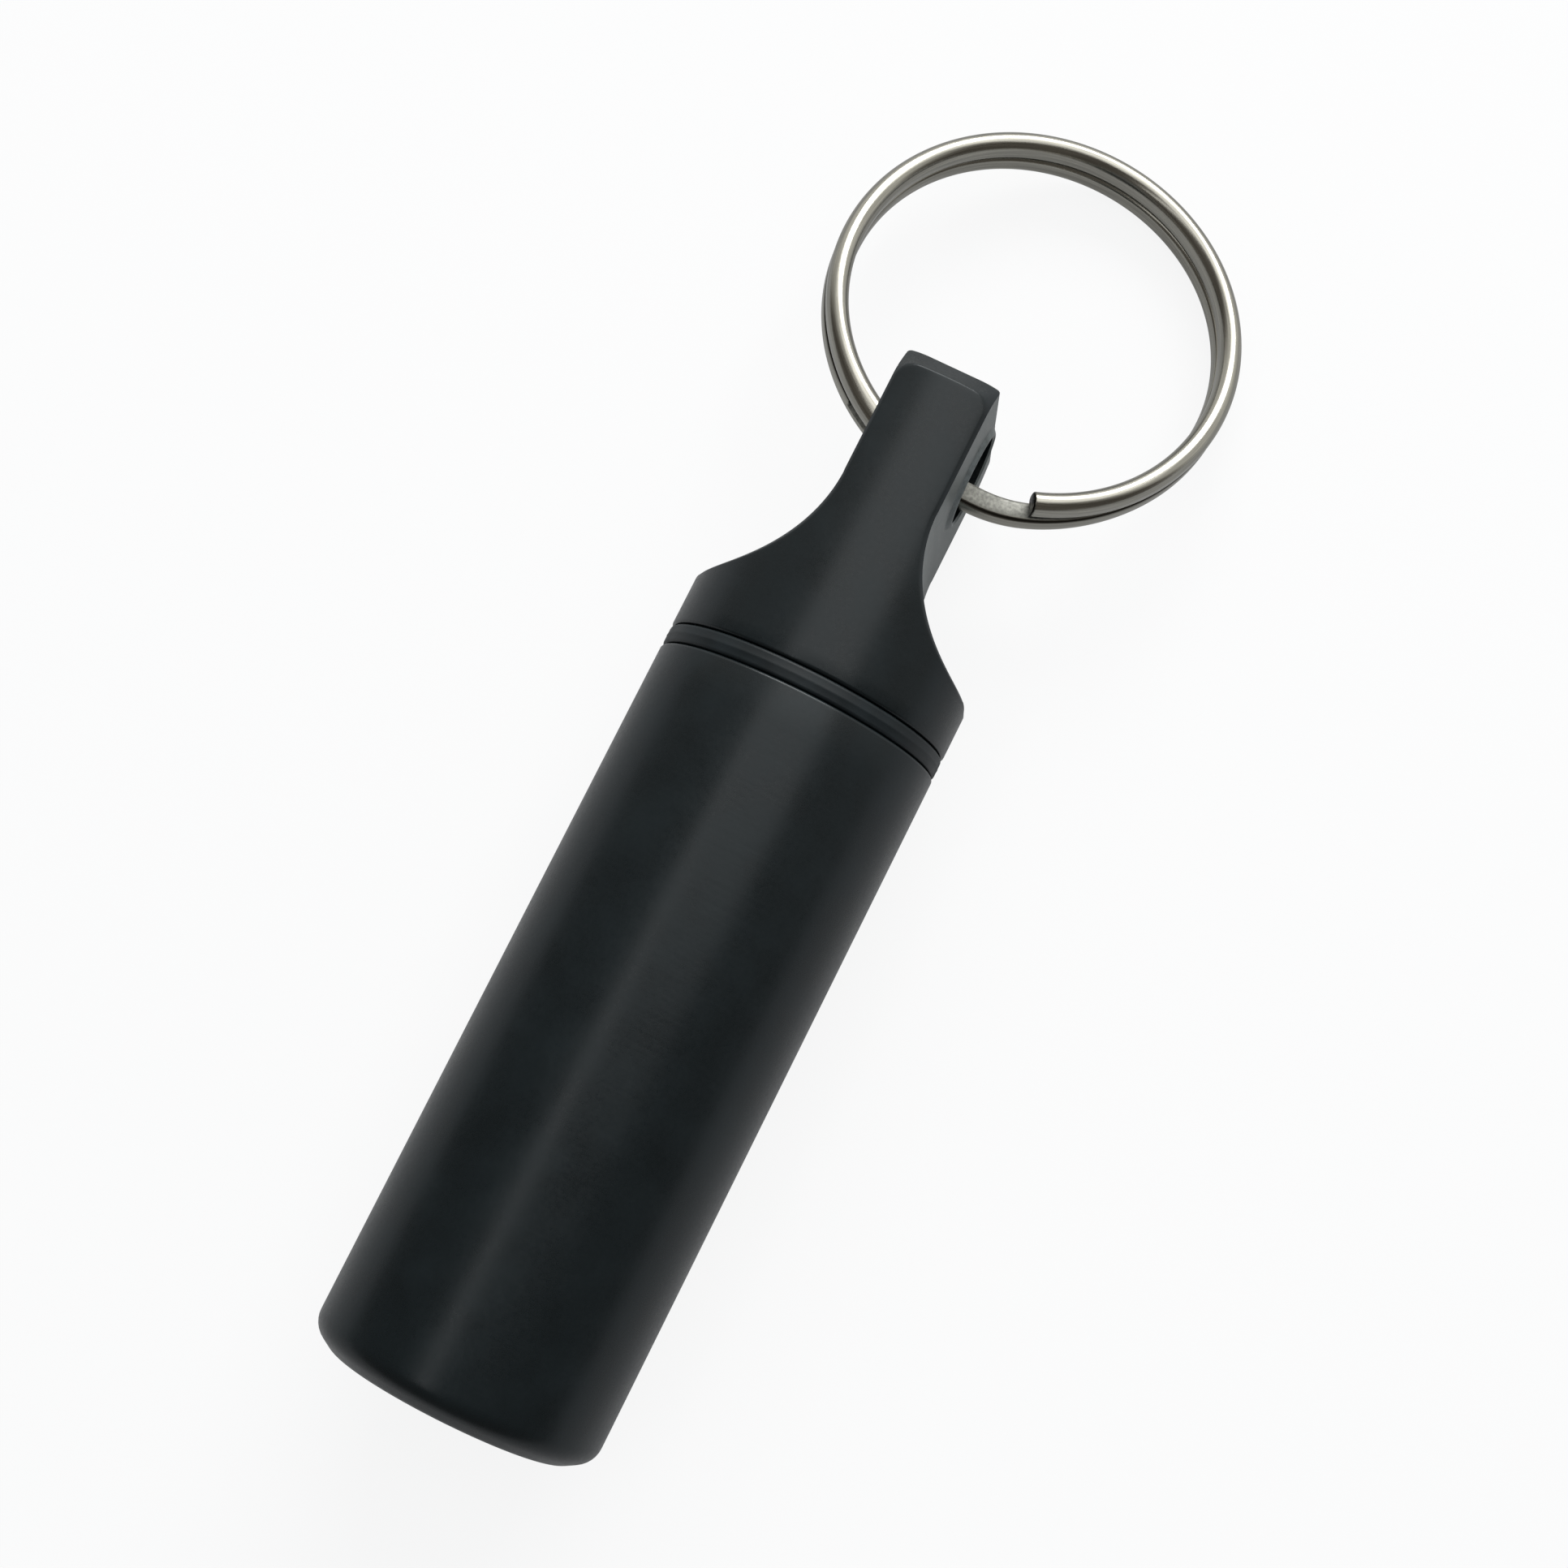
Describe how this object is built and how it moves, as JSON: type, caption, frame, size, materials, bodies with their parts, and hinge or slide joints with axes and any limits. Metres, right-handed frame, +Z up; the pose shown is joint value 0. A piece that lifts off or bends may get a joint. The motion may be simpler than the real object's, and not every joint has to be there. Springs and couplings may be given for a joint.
{
  "type": "keychain capsule",
  "caption": "Slim black metal tube with a screw cap on a rubber seal; the cap ends in a flat drilled tab that carries a wound split ring for keys.",
  "frame": {"origin": "centre of the tube's flat base face, on the capsule's axis", "axes": "+X along the capsule's axis from the base to the tab, +Z up with the capsule lying on its side and the tab's milled sides upright, +Y to the left of the tab seen from above with the tab pointing away"},
  "size_m": [0.0823, 0.025, 0.017],
  "materials": {
    "anodised_tube": "turned and bead-blasted, black anodised, satin",
    "anodised_cap": "turned and milled, black anodised, satin",
    "seal_rubber": "moulded black nitrile rubber, semi-matt",
    "nickel_plated_wire": "spring steel wire, nickel plated, bright with a ground flat side"
  },
  "bodies": {
    "tube_body": {"body_tube": "anodised_tube"},
    "seal_body": {"seal_ring": "seal_rubber"},
    "cap_body": {"cap": "anodised_cap"},
    "ring_body": {"split_ring": "nickel_plated_wire"}
  },
  "joints": [
    {"name": "cap_lift", "type": "slide", "parent": "tube_body", "child": "seal_body", "axis": [1, 0, 0], "range_m": [0, 0.012]},
    {"name": "cap_turn", "type": "hinge", "parent": "seal_body", "child": "cap_body", "pos_m": [0.04375, 0, 0], "axis": [1, 0, 0], "range_deg": [0, 4320]},
    {"name": "ring_swing", "type": "hinge", "parent": "cap_body", "child": "ring_body", "pos_m": [0.059, 0, 0], "axis": [0, -1, 0], "range_deg": [-137, 169]}
  ],
  "couplings": [
    {"joint": "cap_lift", "follows": "cap_turn", "m_per_rad": 0.00015915}
  ]
}
